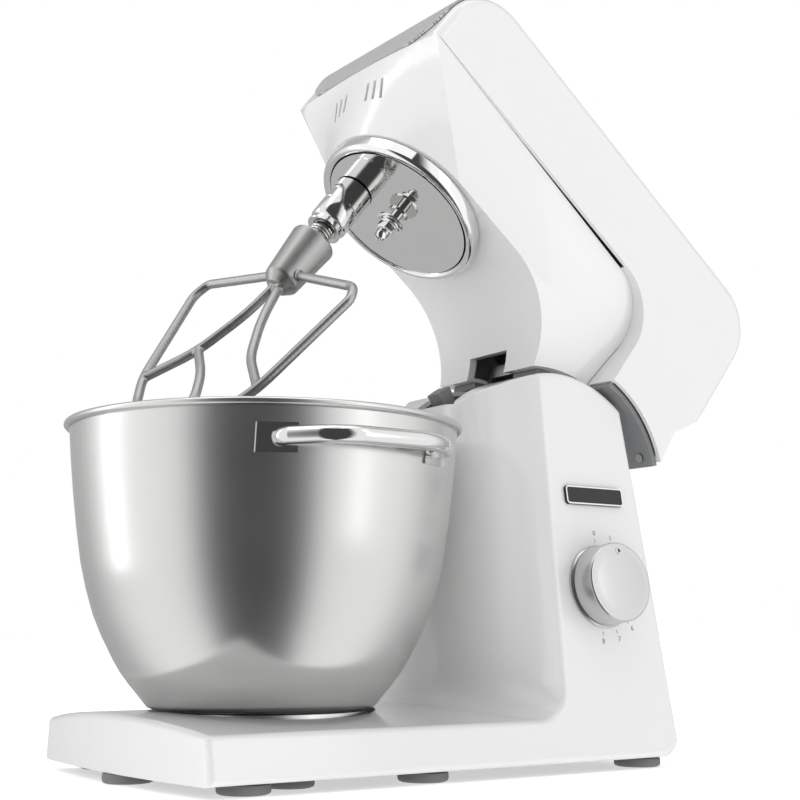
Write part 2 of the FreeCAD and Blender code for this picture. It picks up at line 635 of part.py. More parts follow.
def gear(teeth, size, thick, bore, base, inside=False, backlash=0.35):
    """A spur gear with straight-sided teeth, or a ring gear with its teeth inside."""
    pitch = teeth * size / 2
    tip = pitch + (0.8 if not inside else -0.8) * size
    root = pitch + (-1.1 if not inside else 1.1) * size
    step = 2 * math.pi / teeth
    half_pitch = step / 4 - backlash / pitch / 2
    corners = []
    for n in range(teeth):
        mid = n * step
        for radius, spread in ((root, 1.6), (tip, 0.55)):
            corners.append((radius, mid - half_pitch * spread))
        for radius, spread in ((tip, 0.55), (root, 1.6)):
            corners.append((radius, mid + half_pitch * spread))
    points = [V(radius * math.cos(turn), radius * math.sin(turn), base) for radius, turn in corners]
    toothed = Part.Face(Part.makePolygon(points + [points[0]])).extrude(UP * thick)
    if inside:
        return Part.makeCylinder(bore, thick, V(0, 0, base)).cut(toothed)
    return toothed.cut(Part.makeCylinder(bore, thick + 2, V(0, 0, base - 1)))


def orbit_spot():
    """Where the beater shaft stands in the closed head, seen from above."""
    turn = math.radians(val("orbit_turn"))
    return -val("orbit") * math.sin(turn), -val("orbit") * math.cos(turn)


def drive_parts():
    disc = "disc_z"
    ox, oy = orbit_spot()
    planet_turn = math.degrees(math.atan2(oy, ox))
    carrier = shaped("carrier_shape", Part.makeCylinder(val("disc_r"), 3, V(0, 0, val(disc) + 1)).cut(
        Part.makeCylinder(val("shaft_r") + 0.4, 10, V(ox, oy, val(disc) - 2))).cut(
        Part.makeCylinder(val("main_r"), 10, V(0, 0, val(disc) - 2))))
    finish(carrier, "planetary_disc", head=True)
    bead = doc.addObject("Part::Torus", "ring_bead")
    bead.setExpression("Radius1", bound("ring_r - 3"))
    bead.setExpression("Radius2", "3 mm")
    bead.Placement = mover("0", "0", "3")
    finish(fuse("ring_join", bead, ring("ring_wall", "ring_r", "disc_r + gap", "7", "3"),
                ring("ring_lip", "ring_r - 3", "disc_r + gap", "3")),
           "chrome_ring", mover("0", "0", disc), head=True)

    boss = Part.makeCylinder(val("shaft_r") + 3, 12, V(ox, oy, val(disc) + 4))
    spine = Part.makeCylinder(13, 12, V(0, 0, val(disc) + 4))
    bridge = Part.makeBox(val("orbit"), 14, 12, V(0, -7, val(disc) + 4))
    bridge.rotate(V(0, 0, 0), UP, math.degrees(math.atan2(oy, ox)))
    arm = spine.fuse([boss, bridge])
    for x, y, radius in ((0, 0, val("main_r")), (ox, oy, val("stem_r") + 2.4)):
        arm = arm.cut(Part.makeCylinder(radius, 30, V(x, y, val(disc))))
    finish(shaped("carrier_arm", arm.removeSplitter()), "carrier_arm", head=True)

    nut = turned("nut_body", [("0", "-24"), ("2.6", "-23"), ("4.2", "-20"), ("4.2", "-16.5"), ("6", "-16.5"),
                              ("6", "-11"), ("10.5", "-11"), ("10.5", "-8"), ("4.2", "-8"), ("4.2", "0"),
                              ("8", "0"), ("8", "0.98"), ("0", "0.98")])
    finish(nut, "centre_nut", mover("0", "0", disc), head=True)

    finish(rod("main_shaft_rod", "main_r - 0.02", "62", disc + " + 1.2"), "main_shaft", head=True)
    teeth = round(val("ring_teeth"))
    finish(shaped("ring_gear_shape", gear(teeth, val("tooth"), 9, val("ring_r") - 5.5, 0, inside=True)),
           "ring_gear",
           FreeCAD.Placement(V(0, 0, val(disc) + 19), FreeCAD.Rotation(UP, planet_turn + 180 / teeth)), head=True)
    planet = gear(round(val("planet_teeth")), val("tooth"), 9, val("stem_r"), 0)
    finish(shaped("planet_shape", planet), "planet_gear",
           FreeCAD.Placement(V(ox, oy, val(disc) + 19), FreeCAD.Rotation(UP, planet_turn)), head=True)

    stem = Part.makeCylinder(val("stem_r"), 29.8, V(0, 0, -2))
    barrel = Part.makeCylinder(val("shaft_r"), val("shaft_long"), V(0, 0, -val("shaft_long")))
    socket = Part.makeCylinder(6.1, val("shaft_long") - 6, V(0, 0, -val("shaft_long") - 1))
    finish(shaped("shaft_shape", stem.fuse(barrel).cut(socket).removeSplitter()), "beater_shaft",
           FreeCAD.Placement(V(ox, oy, val(disc)), FreeCAD.Rotation()), head=True)
    bush = ring("bush_ring", "stem_r + 2.4", "stem_r + run", "12", "4")
    finish(bush, "beater_shaft_bush", FreeCAD.Placement(V(ox, oy, val(disc)), FreeCAD.Rotation()), head=True)
    spring = []
    for n in range(5):
        spring.append(Part.makeTorus(7.4, 1.0, V(0, 0, -val("shaft_long") - 1.05 - 2.1 * n)))
    coil = spring[0].multiFuse(spring[1:])
    finish(shaped("spring_shape", coil), "shaft_spring",
           FreeCAD.Placement(V(ox, oy, val(disc)), FreeCAD.Rotation()), head=True)

    plate = Part.makeCylinder(val("ring_r") - 5.5, 5, V(0, 0, val(disc) + 28.1))
    bell = Part.makeCylinder(val("ring_r") - 2, 14, V(0, 0, val(disc) + 19.1)).cut(
        Part.makeCylinder(val("ring_r") - 5.45, 9, V(0, 0, val(disc) + 19.1)))
    deck = Part.makeBox(100, 100, 5, V(-50, 0, val(disc) + 28.1))
    hole = Part.makeCylinder(13, 30, V(0, 0, val(disc) + 15))
    idler = Part.makeCylinder(9, 30, V(0, val("idler_y"), val(disc) + 15))
    frame_shape = bell.fuse([plate, deck]).cut(hole).cut(idler)
    finish(shaped("gear_frame_shape", frame_shape.removeSplitter()), "gearbox_frame", head=True)

    bearing_z = disc + " + 28"
    finish(ring("main_bearing_ring", "12.98", "main_r", "5", bearing_z), "main_bearing", head=True)
    finish(ring("idler_bearing_ring", "8.98", "4", "5", bearing_z, "0", "idler_y"), "idler_bearing", head=True)
    finish(shaped("main_gear_shape", gear(round(val("main_teeth")), val("gear_tooth"), 8, val("main_r"), val(disc) + 38)), "main_gear",
           head=True)
    pinion = gear(round(val("pinion_teeth")), val("gear_tooth"), 12, 4, 0)
    finish(shaped("pinion_shape", pinion), "idler_pinion",
           FreeCAD.Placement(V(0, val("idler_y"), val(disc) + 36), FreeCAD.Rotation(UP, 90)), head=True)
    finish(rod("idler_rod", "3.98", "58", disc + " + 28.2", "0", "idler_y"), "idler_shaft", head=True)

    wheel_r = val("wheel_teeth * belt_pitch") / 2 / math.pi
    nose_r = val("nose_teeth * belt_pitch") / 2 / math.pi
    level = val(disc) + 76
    wheel = turned("wheel_body", [("4", "0"), (str(wheel_r - 0.6), "0"), (str(wheel_r - 0.6), "9"), ("4", "9")])
    finish(wheel, "belt_wheel", FreeCAD.Placement(V(0, val("idler_y"), level), FreeCAD.Rotation()), head=True)
    nose = turned("nose_body", [("2.5", "0"), (str(nose_r - 0.6), "0"), (str(nose_r - 0.6), "9"), ("2.5", "9")])
    finish(nose, "motor_pulley", FreeCAD.Placement(V(0, val("motor_y"), level), FreeCAD.Rotation()), head=True)
    gap_y = val("motor_y - idler_y")
    slope = math.asin((wheel_r - nose_r) / gap_y)

    def belt_face(extra):
        big = wheel_r + extra
        small = nose_r + extra
        c, q = math.cos(slope), math.sin(slope)
        a = V(big * c, val("idler_y") + big * q, level + 1)
        b = V(small * c, val("motor_y") + small * q, level + 1)
        right = Part.makeLine(a, b)
        tip = Part.Arc(b, V(0, val("motor_y") + small, level + 1), V(-b.x, b.y, b.z)).toShape()
        left = Part.makeLine(V(-b.x, b.y, b.z), V(-a.x, a.y, a.z))
        heel = Part.Arc(V(-a.x, a.y, a.z), V(0, val("idler_y") - big, level + 1), a).toShape()
        return Part.Face(Part.Wire([right, tip, left, heel]))

    belt = belt_face(1.4).cut(belt_face(-0.3)).extrude(UP * 7)
    finish(shaped("belt_shape", belt), "drive_belt", head=True)


def motor_parts():
    spot = mover("0", "motor_y", "disc_z")
    low = 12
    stack = ring("stack_ring", "motor_r", "20.5", "34", str(low + 10))
    finish(stack, "motor_field_stack", spot, head=True)
    coils = []
    for side in (-1, 1):
        for z in (low + 4, low + 44.1):
            coils.append(Part.makeBox(10, 30, 5.9, V(side * 27 - 5, -15, z)))
    finish(group("field_coil_group", coils), "field_coils", spot, head=True)
    finish(ring("armature_ring", "20", "4", "34", str(low + 10)), "armature", spot, head=True)
    finish(ring("commutator_ring", "10", "4", "9", str(low - 1)), "commutator", spot, head=True)
    brushes = [Part.makeBox(11, 6, 6, V(10.1, -3, low + 0.5)), Part.makeBox(11, 6, 6, V(-21.1, -3, low + 0.5))]
    finish(group("brush_group", brushes), "brushes", spot, head=True)
    finish(fuse("motor_shaft_join", rod("motor_shaft_low", "3.98", "58", str(low - 6)),
                rod("motor_shaft_top", "2.48", "24", str(low + 50))), "motor_shaft", spot, head=True)
    finish(ring("lower_end_ring", "motor_r - 2", "4.05", "3", str(low - 5)), "motor_end_lower", spot, head=True)
    finish(ring("upper_end_ring", "motor_r - 2", "4.05", "2", str(low + 50.1)), "motor_end_upper", spot, head=True)
    hub = ring("fan_hub", "6", "2.5", "7", str(low + 55))
    blades = []
    for n in range(8):
        blade = block("fan_blade_%d" % n, ("5", "-0.5", str(low + 55)), ("22", "1", "6"))
        blade.Placement = FreeCAD.Placement(V(0, 0, 0), FreeCAD.Rotation(UP, n * 45)).multiply(blade.Placement)
        blades.append(blade)
    rim = ring("fan_rim", "27", "2.5", "1", str(low + 54))
    finish(fuse("fan_join", hub, rim, *blades), "cooling_fan", spot, head=True)


def beater_parts():
    ox, oy = orbit_spot()
    spot = FreeCAD.Placement(V(ox, oy, val("disc_z")), FreeCAD.Rotation(UP, val("beat_turn")))
    top = -val("hub_drop")
    low = top - val("hub_high")
    r = val("bar_r")
    half = val("beat_half")
    hub = Part.makeCone(val("hub_low_r"), val("hub_r"), val("hub_high"), V(0, 0, low))
    cone = Part.makeCone(val("hub_low_r") - 5, val("hub_low_r"), 6, V(0, 0, low - 6))
    stem = Part.makeCylinder(5.9, 30, V(0, 0, top - 6))
    pin = Part.makeCylinder(1.5, 11.6, V(-5.8, 0, top + 14), ACROSS)

    def bar(points):
        return bent_bar(points, r)

    arm_z = low + 6
    bottom = -val("beat_low")

    def at(x, z):
        return V(x, 0, z)

    side = [at(half - 5, arm_z - 10), at(half, arm_z - 21), at(half - 19, bottom + 36),
            at(half - 34, bottom + 14), at(20, bottom + r)]
    other = [at(-point.x, point.z) for point in reversed(side)]
    frame = bar([at(8, arm_z)] + side + other + [at(-8, arm_z)])
    left = bar([at(-2, low - 3), at(-7, low - 30), at(-25, low - 66), at(-(half - 19), low - 92)])
    right = bar([at(2, low - 3), at(11, low - 36), at(28, low - 68), at(half - 19, low - 92)])
    branch = bar([at(-24, low - 65), at(-4, low - 84), at(7, low - 102), at(12, bottom + r)])
    whole = hub.fuse([cone, stem, pin])
    for piece in (frame, left, right, branch):
        whole = whole.fuse(piece)
    finish(shaped("beater_shape", whole), "flat_beater", spot, head=True)


def check_and_write():
    doc.recompute()
    for thing in doc.Objects:
        if "Invalid" in thing.State or "Error" in thing.State:
            raise RuntimeError("failed object: " + thing.Name)
    for label, thing in finished.items():
        if thing.Shape.isNull() or not thing.Shape.isValid() or not thing.Shape.Solids:
            raise RuntimeError("bad shape: " + label)
        thing.Shape.exportStep("parts/%s.step" % label)
    print(len(finished), "sub-parts written")


base_parts()
bowl_parts()
control_parts()
hinge_parts()
head_shells()
front_and_liner()
drive_parts()
motor_parts()
beater_parts()
check_and_write()
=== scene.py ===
# %% [markdown]
# # A tilt-head stand mixer
# The engineering model comes in first and is never moved. It says where every real part is and
# what it turns with. This file gives those parts their finishes, and swaps the few whose look
# depends on flowing metal or soft edges for finer pieces of the same size in the same place.

# %% Load the frame and keep its box
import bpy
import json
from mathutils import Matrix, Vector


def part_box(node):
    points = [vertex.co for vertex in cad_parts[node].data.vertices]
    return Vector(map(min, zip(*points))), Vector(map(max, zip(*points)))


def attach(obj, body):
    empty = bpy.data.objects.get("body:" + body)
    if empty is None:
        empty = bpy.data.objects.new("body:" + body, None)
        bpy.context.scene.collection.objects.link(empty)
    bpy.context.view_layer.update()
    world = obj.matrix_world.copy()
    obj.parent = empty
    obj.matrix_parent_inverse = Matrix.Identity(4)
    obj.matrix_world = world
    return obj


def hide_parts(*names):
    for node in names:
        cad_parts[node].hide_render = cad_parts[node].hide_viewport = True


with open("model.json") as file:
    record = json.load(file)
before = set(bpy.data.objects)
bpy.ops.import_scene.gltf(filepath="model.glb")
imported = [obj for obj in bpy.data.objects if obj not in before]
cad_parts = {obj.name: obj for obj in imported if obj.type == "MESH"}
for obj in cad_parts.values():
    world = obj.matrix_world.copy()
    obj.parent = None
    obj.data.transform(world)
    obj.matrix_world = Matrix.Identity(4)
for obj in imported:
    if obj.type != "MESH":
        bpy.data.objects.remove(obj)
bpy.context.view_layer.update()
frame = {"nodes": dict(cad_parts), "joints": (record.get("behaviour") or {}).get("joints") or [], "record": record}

import json
import math
import bpy
from mathutils import Matrix, Vector

MM = 0.001
nodes = frame["nodes"]
body_of = {node: body for body, members in frame["record"]["behaviour"]["bodies"].items() for node in members}
slot_of = {part["node"]: part["material_slot"] for part in frame["record"]["subparts"]}
joints = {joint["name"]: joint for joint in frame["joints"]}

# %% [markdown]
# ## The camera
# A stand mixer is usually shown from low down in front, a little to the side of the speed knob, so
# that the raised head looks tall. A long lens keeps the sides nearly parallel. Looking slightly up
# from below the rim hides the inside of the bowl.

# %% Camera
TURN = math.radians(54.9)
PITCH = math.radians(9.2)
LENS = 64.75
eye = Vector((757.7, -432.4, 81.7)) * MM
look = Vector((-math.sin(TURN) * math.cos(PITCH), math.cos(TURN) * math.cos(PITCH), math.sin(PITCH)))
camera = bpy.data.objects.new("camera", bpy.data.cameras.new("camera"))
bpy.context.scene.collection.objects.link(camera)
camera.location = eye
camera.rotation_euler = look.to_track_quat("-Z", "Y").to_euler()
camera.data.lens = LENS
camera.data.clip_start = 0.01
bpy.context.scene.camera = camera
print("camera at", tuple(round(v, 3) for v in eye))

# %% [markdown]
# ## One class for shader maths
# A finish is a net of small nodes. Written as plain sums it can be read, so a socket is wrapped in a
# class that knows plus, minus and times, and each sum adds its own Math node. Every other node comes
# from one method that takes the node's type, its settings and what goes into its sockets.

# %% Shader sockets as numbers
class Socket:
    """One output in a finish's node tree. Sums of sockets and numbers add Math nodes."""

    def __init__(self, tree, out=None):
        self.tree = tree
        self.out = out

    def put(self, socket, value):
        """Links or sets one input."""
        if isinstance(value, Socket):
            self.tree.links.new(value.out, socket)
        else:
            socket.default_value = value

    def node(self, kind, settings=None, inputs=None, output=0):
        """Adds a node: its settings first, then its inputs by name or number."""
        made = self.tree.nodes.new(kind)
        for name, value in (settings or {}).items():
            if name == "stops":
                ramp = made.color_ramp
                ramp.elements[0].position, ramp.elements[0].color = value[0]
                ramp.elements[1].position, ramp.elements[1].color = value[1]
                for position, colour in value[2:]:
                    ramp.elements.new(position).color = colour
            else:
                setattr(made, name, value)
        for name, value in (inputs or {}).items():
            self.put(made.inputs[name], value)
        return Socket(self.tree, made.outputs[output])

    def sum(self, operation, first, second=0.0):
        return self.node("ShaderNodeMath", {"operation": operation}, {0: first, 1: second})

    def __add__(self, other):
        return self.sum("ADD", self, other)

    def __sub__(self, other):
        return self.sum("SUBTRACT", self, other)

    def __rsub__(self, other):
        return self.sum("SUBTRACT", other, self)

    def __mul__(self, other):
        return self.sum("MULTIPLY", self, other)

    def __gt__(self, other):
        return self.sum("GREATER_THAN", self, other)

    __radd__ = __add__
    __rmul__ = __mul__

    def sine(self):
        return self.sum("SINE", self)

    def between(self, low, high):
        """Stretches 0 to 1 over two values, without going past them."""
        return self.node("ShaderNodeMapRange", None, {"Value": self, "To Min": low, "To Max": high})

    def colours(self, low, high):
        """A colour that goes from one to the other."""
        return self.node("ShaderNodeValToRGB", {"stops": [(0.0, (*low, 1)), (1.0, (*high, 1))]}, {0: self})


def new_finish(name, metallic=0.0, **fixed):
    """A material with its shader, its node maker and the place on the object in metres."""
    material = bpy.data.materials.new(name)
    material.use_nodes = True
    shader = material.node_tree.nodes["Principled BSDF"]
    shader.inputs["Metallic"].default_value = metallic
    for socket, value in fixed.items():
        shader.inputs[socket.replace("_", " ")].default_value = value
    maker = Socket(material.node_tree)
    place = maker.node("ShaderNodeTexCoord", output="Object")
    return material, shader, maker, place


def noise(maker, place, scale, detail=3.0, stretch=(1, 1, 1)):
    """Fine random variation, which a stretch can draw out into brush marks."""
    moved = maker.node("ShaderNodeMapping", None, {"Vector": place, "Scale": stretch})
    return maker.node("ShaderNodeTexNoise", None, {"Vector": moved, "Scale": scale, "Detail": detail})


def bump(maker, shader, height, distance, strength=1.0):
    """Lets a pattern stand out of the surface by a distance in metres."""
    raised = maker.node("ShaderNodeBump", None, {"Height": height, "Distance": distance, "Strength": strength})
    maker.put(shader.inputs["Normal"], raised)


print("shader maths ready")

# %% [markdown]
# ## Plastics and rubber
# Moulded plastic is never quite even: the gloss wanders a little, and the skin has a slight orange
# peel that only shows in a reflection. One recipe with a few numbers gives the gloss white housing,
# the satin grey liner, the dark inside parts and the rubber feet, so they look like one family.

# %% Plastic and rubber finishes
def plastic(name, colour, rough, spread=0.05, grain=300.0, depth=0.00002, shade=0.03, **fixed):
    material, shader, maker, place = new_finish(name, **fixed)
    wander = noise(maker, place, 14.0)
    fine = noise(maker, place, grain)
    darker = tuple(c * (1 - shade) for c in colour)
    maker.put(shader.inputs["Base Color"], wander.colours(darker, colour))
    maker.put(shader.inputs["Roughness"], wander.between(rough - spread, rough + spread))
    bump(maker, shader, fine, depth)
    return material


finishes = {
    "white_gloss": plastic("gloss white moulding", (0.83, 0.83, 0.828), 0.2, 0.03, 90.0, 0.000003, 0.01,
                           Coat_Weight=0.6, Coat_Roughness=0.05),
    "liner_grey": plastic("satin grey moulding", (0.22, 0.225, 0.23), 0.42, 0.06, 1400.0, 0.00003),
    "dark_plastic": plastic("dark moulding", (0.03, 0.03, 0.032), 0.45, 0.08, 1200.0, 0.00003),
    "rubber_grey": plastic("grey rubber", (0.2, 0.2, 0.205), 0.75, 0.08, 900.0, 0.00006, 0.12),
    "belt_rubber": plastic("black rubber", (0.02, 0.02, 0.02), 0.7, 0.08, 900.0, 0.00006, 0.2),
    "carbon": plastic("pressed carbon", (0.02, 0.02, 0.022), 0.6, 0.1, 1500.0, 0.00004, 0.3),
    "gear_plastic": plastic("natural gear plastic", (0.72, 0.69, 0.6), 0.4, 0.08, 600.0, 0.00002, 0.08),
    "board_green": plastic("lacquered board", (0.03, 0.13, 0.06), 0.35, 0.1, 400.0, 0.00002, 0.3),
    "badge_black": plastic("black enamel", (0.012, 0.012, 0.013), 0.18, 0.05, 500.0, 0.000005, 0.2),
}
print(len(finishes), "plastics")

# %% [markdown]
# ## The dotted front
# The head's front is a silver-grey panel pierced with fine holes in staggered rows. Thousands of real
# holes would cost a great deal and look the same, so the holes are a pattern: two waves multiplied
# give a grid of dots, laid out in the head's own slope so the rows stay level with the head. The dots are
# painted dark grey as painted shade inside the holes.

# %% Dotted panel finish
TILT = math.radians(joints["head_tilt"]["range_deg"][1])
PITCH_OF_DOTS = 2.0 * MM


def dotted():
    material, shader, maker, place = new_finish("dotted silver-grey panel", Specular_IOR_Level=0.4)
    level = maker.node("ShaderNodeMapping", {"vector_type": "POINT"}, {"Vector": place, "Rotation": (TILT, 0, 0)})
    split = maker.tree.nodes.new("ShaderNodeSeparateXYZ")
    maker.put(split.inputs[0], level)
    across = Socket(maker.tree, split.outputs[0])
    up = Socket(maker.tree, split.outputs[2])
    wave = 2 * math.pi / PITCH_OF_DOTS
    dots = ((across + up) * (wave / math.sqrt(2))).sine() * ((across - up) * (wave / math.sqrt(2))).sine()
    painted_dark_hole = dots > 0.28
    # The holes are a pattern. Their dark grey is painted shade inside the holes, and the silver-grey is the
    # panel's own colour.
    maker.put(shader.inputs["Base Color"], painted_dark_hole.colours((0.6, 0.605, 0.61), (0.2, 0.2, 0.205)))
    maker.put(shader.inputs["Roughness"], painted_dark_hole.between(0.36, 0.75))
    bump(maker, shader, 1 - painted_dark_hole, 0.0004, 0.6)
    return material


finishes["grille_grey"] = dotted()
print("dotted panel ready")

# %% [markdown]
# ## Metals
# What tells one metal from another is how its surface was worked. Chrome is nearly a mirror, the
# beater is cast and tumbled, shafts are turned, and the bowl is brushed round and round, which
# smears every reflection up and down it. Brush marks are noise drawn out along the stroke.

# %% Metal finishes
def metal(name, colour, rough, spread=0.04, grain=500.0, depth=0.00001, stretch=(1, 1, 1),
          shade=0.06, **fixed):
    material, shader, maker, place = new_finish(name, 1.0, **fixed)
    wander = noise(maker, place, 22.0)
    marks = noise(maker, place, grain, 4.0, stretch)
    darker = tuple(c * (1 - shade) for c in colour)
    maker.put(shader.inputs["Base Color"], marks.colours(darker, colour))
    maker.put(shader.inputs["Roughness"], (wander * 0.6 + marks * 0.4).between(rough - spread, rough + spread))
    bump(maker, shader, marks, depth)
    return material


finishes.update({
    "chrome": metal("bright chrome", (0.86, 0.855, 0.85), 0.055, 0.025, 60.0, 0.000004, shade=0.03),
    "polished_steel": metal("polished steel", (0.74, 0.735, 0.73), 0.1, 0.04, 700.0, 0.000004),
    "bowl_steel": metal("brushed stainless steel", (0.72, 0.715, 0.71), 0.24, 0.03, 60.0, 0.000003,
                        (0.5, 0.5, 160.0), shade=0.07, Anisotropic=0.8),
    "mill_steel": metal("machined steel", (0.4, 0.4, 0.4), 0.35, 0.08, 300.0, 0.00001, (1, 1, 8), shade=0.15),
    "cast_aluminium": metal("burnished casting", (0.46, 0.455, 0.45), 0.4, 0.07, 220.0, 0.00001, shade=0.12),
    "satin_silver": metal("satin silver", (0.66, 0.66, 0.665), 0.3, 0.05, 1200.0, 0.00001, shade=0.05),
    "copper": metal("enamelled copper", (0.55, 0.24, 0.12), 0.3, 0.08, 1200.0, 0.0001, (1, 1, 6), shade=0.3),
    "bronze": metal("sintered bronze", (0.5, 0.32, 0.14), 0.4, 0.08, 1200.0, 0.00003, shade=0.25),
})
for node, thing in nodes.items():
    for held in thing.material_slots:
        held.material = finishes[slot_of[node]]
print(len(finishes), "finishes on", len(nodes), "parts")

# %% [markdown]
# ## Fair copies of the moulded parts
# The engineering parts come in as loose triangles with a hard facet on each. A copy whose corners
# are merged can be shaded smooth wherever two faces nearly agree, which turns facets back into
# the flowing shell that was moulded, while the true creases stay crisp.

# %% Smooth copies of engineering parts
def alone(piece):
    """Selects one piece only."""
    bpy.ops.object.select_all(action="DESELECT")
    piece.select_set(True)
    bpy.context.view_layer.objects.active = piece


SMOOTH_BELOW = math.radians(32)


def fair_copy(node, name):
    """Copies a part's mesh, merges its corners, smooths it and lets it stand for the part."""
    piece = bpy.data.objects.new(name, nodes[node].data.copy())
    bpy.context.scene.collection.objects.link(piece)
    alone(piece)
    bpy.ops.object.mode_set(mode="EDIT")
    bpy.ops.mesh.select_all(action="SELECT")
    bpy.ops.mesh.customdata_custom_splitnormals_clear()
    bpy.ops.mesh.remove_doubles(threshold=0.000002)
    bpy.ops.object.mode_set(mode="OBJECT")
    bpy.ops.object.shade_smooth_by_angle(angle=SMOOTH_BELOW)
    better = piece.modifiers.new("even shading", "WEIGHTED_NORMAL")
    better.keep_sharp = True
    bpy.ops.object.modifier_apply(modifier=better.name)
    return stand_in(piece, node)


def stand_in(piece, *parts):
    """Gives a new piece the finish, the body and the place of the parts it stands for."""
    piece.data.materials.clear()
    piece.data.materials.append(finishes[slot_of[parts[0]]])
    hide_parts(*parts)
    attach(piece, body_of[parts[0]])
    return piece


for node, name in (("base_housing", "housing_shell"), ("head_upper_shell", "head_shell"),
                   ("head_lower_shell", "chin_shell"), ("front_grille", "front_panel"),
                   ("hinge_liner", "hinge_cover"), ("bowl_handle", "handle_tube"),
                   ("handle_plates", "handle_pads"), ("planetary_disc", "turning_disc"),
                   ("badge_plaque", "blank_plaque"), ("latch_tab", "latch"), ("bowl_seat", "bowl_seat_ring")):
    print(fair_copy(node, name).name, "is", len(bpy.data.objects[name].data.polygons), "faces")

# %% [markdown]
# ## Turned pieces
# The bowl, the bright ring round the drive, the knob and the feet are all round. On a real lathe or
# spinning machine a profile is followed round an axis. Here a circle is drawn out ring by ring
# along the same profile and resized at each step, which leaves even quads all the way round.

# %% A lathe
def lathe(name, profile, sides=96, closed=False):
    """Draws a circle out along a profile of (radius, height) in millimetres."""
    bpy.ops.object.select_all(action="DESELECT")
    radius, height = profile[0]
    bpy.ops.mesh.primitive_circle_add(vertices=sides, radius=radius * MM, location=(0, 0, height * MM))
    piece = bpy.context.object
    piece.name = name
    piece.data.name = name
    bpy.ops.object.transform_apply(location=True, rotation=True, scale=True)
    bpy.ops.object.mode_set(mode="EDIT")
    bpy.ops.mesh.select_all(action="SELECT")
    points = list(profile) + ([profile[0]] if closed else [])
    for (r, z), (next_r, next_z) in zip(points, points[1:]):
        bpy.ops.mesh.extrude_edges_move(TRANSFORM_OT_translate={"value": (0, 0, (next_z - z) * MM)})
        if next_r == 0:
            bpy.ops.mesh.merge(type="CENTER")
            break
        share = next_r / r
        bpy.ops.transform.resize(value=(share, share, 1), center_override=(0, 0, next_z * MM))
    bpy.ops.mesh.select_all(action="SELECT")
    bpy.ops.mesh.remove_doubles(threshold=0.00001)
    bpy.ops.mesh.normals_make_consistent(inside=False)
    bpy.ops.object.mode_set(mode="OBJECT")
    bpy.ops.object.shade_smooth_by_angle(angle=math.radians(40))
    return piece


def settle(piece, place):
    """Turns and moves a piece to its place and leaves its object at the origin."""
    piece.data.transform(place @ piece.matrix_world)
    piece.matrix_world = Matrix.Identity(4)
    piece.data.update()
    return piece


def arc(centre_r, centre_z, radius, start, stop, steps):
    """Points of a quarter or half round on a profile, angles in degrees from outward, up positive."""
    turns = [math.radians(start + (stop - start) * n / steps) for n in range(steps + 1)]
    return [(centre_r + radius * math.cos(t), centre_z + radius * math.sin(t)) for t in turns]


HINGE = Vector((0, 175, 173)) * MM
HEAD_UP = Matrix.Translation(HINGE) @ Matrix.Rotation(-TILT, 4, "X") @ Matrix.Translation(-HINGE)
DISC_Z = 266
print("lathe ready")

# %% [markdown]
# ## The bowl
# A steel bowl is spun from one sheet: a flat floor, a wall that leans out quickly and then stands
# almost straight, and an edge rolled over into a bead so it is stiff and safe to hold. The profile is
# followed up the outside, round the bead and back down the inside, so the wall has a true thickness.

# %% Bowl
FLOOR_Z = 37
WALL = 1.1
outside = [(56, 37), (62, 37.4), (67, 39.2), (72.2, 45.6), (77.6, 52), (83, 59.2), (87.4, 66.6), (94.2, 80),
           (99.5, 92.5), (104, 107.5), (107.5, 122.6), (110.7, 143.5), (113.3, 164.8), (115.2, 184), (116.6, 201)]
bead = arc(118.0, 203.4, 2.0, 215, -125, 14)
inside = [(r - WALL, z + WALL * 0.35) for r, z in reversed(outside[1:])] + [(56, 38.2), (0, 38.2)]
bowl_profile = [(3, FLOOR_Z)] + outside + bead + inside
bowl = lathe("bowl_shell", bowl_profile, 160)
stand_in(bowl, "bowl")

foot_ring = lathe("bowl_foot", [(57, 28.6), (61, 28.4), (62, 29.4), (61.4, 36.9), (57, 36.9)], 128, closed=True)
stand_in(foot_ring, "bowl_foot_ring")
print("bowl is", round(bowl.dimensions.x, 4), "m across its bead")

# %% [markdown]
# ## The bright ring and the drive under the head
# The planetary disc turns inside a plated ring with a full round edge, which catches long curved
# reflections. The shaft hangs from the disc, and below it a short coil spring keeps the beater's
# pin locked. A domed nut on two washers holds the disc.

# %% Ring round the drive
ring_profile = (arc(55, 269, 3, 0, -150, 10) + [(52.2, 268.4), (51.9, 269.5), (51.9, 275.8), (58, 275.8)])
bright_ring = settle(lathe("bright_ring", ring_profile, 144, closed=True), HEAD_UP)
stand_in(bright_ring, "chrome_ring")

# %% [markdown]
# ## The nut at the middle
# A six-sided prism with worn corners stands between a turned stub with two washers and a turned
# dome. The three are drawn in the closed head's own place and go up with it as one piece.

# %% Domed nut on its washers
bpy.ops.object.select_all(action="DESELECT")
NUT_R = 6.6
NUT_TALL = 5.4
NUT_MIDDLE = DISC_Z - 13.7
bpy.ops.mesh.primitive_cylinder_add(vertices=6, radius=NUT_R * MM, depth=NUT_TALL * MM,
                                    location=(0, 0, NUT_MIDDLE * MM))
nut = bpy.context.object
nut.name = "domed_nut"
bpy.ops.object.transform_apply(location=True, rotation=True, scale=True)
soft = nut.modifiers.new("worn corners", "BEVEL")
soft.width = 0.5 * MM
soft.segments = 3
bpy.ops.object.modifier_apply(modifier=soft.name)
washer_steps = ((7.8, -0.9), (7.8, 0.2), (4.2, 0.2), (4.2, 7.6), (10.2, 7.6), (10.4, 7.9), (10.4, 9.2),
                (9.2, 9.5), (8.4, 9.6), (8.4, 10.7), (8.0, 11), (0, 11))
washers = lathe("nut_washers", [(r, DISC_Z - drop) for r, drop in washer_steps], 64)
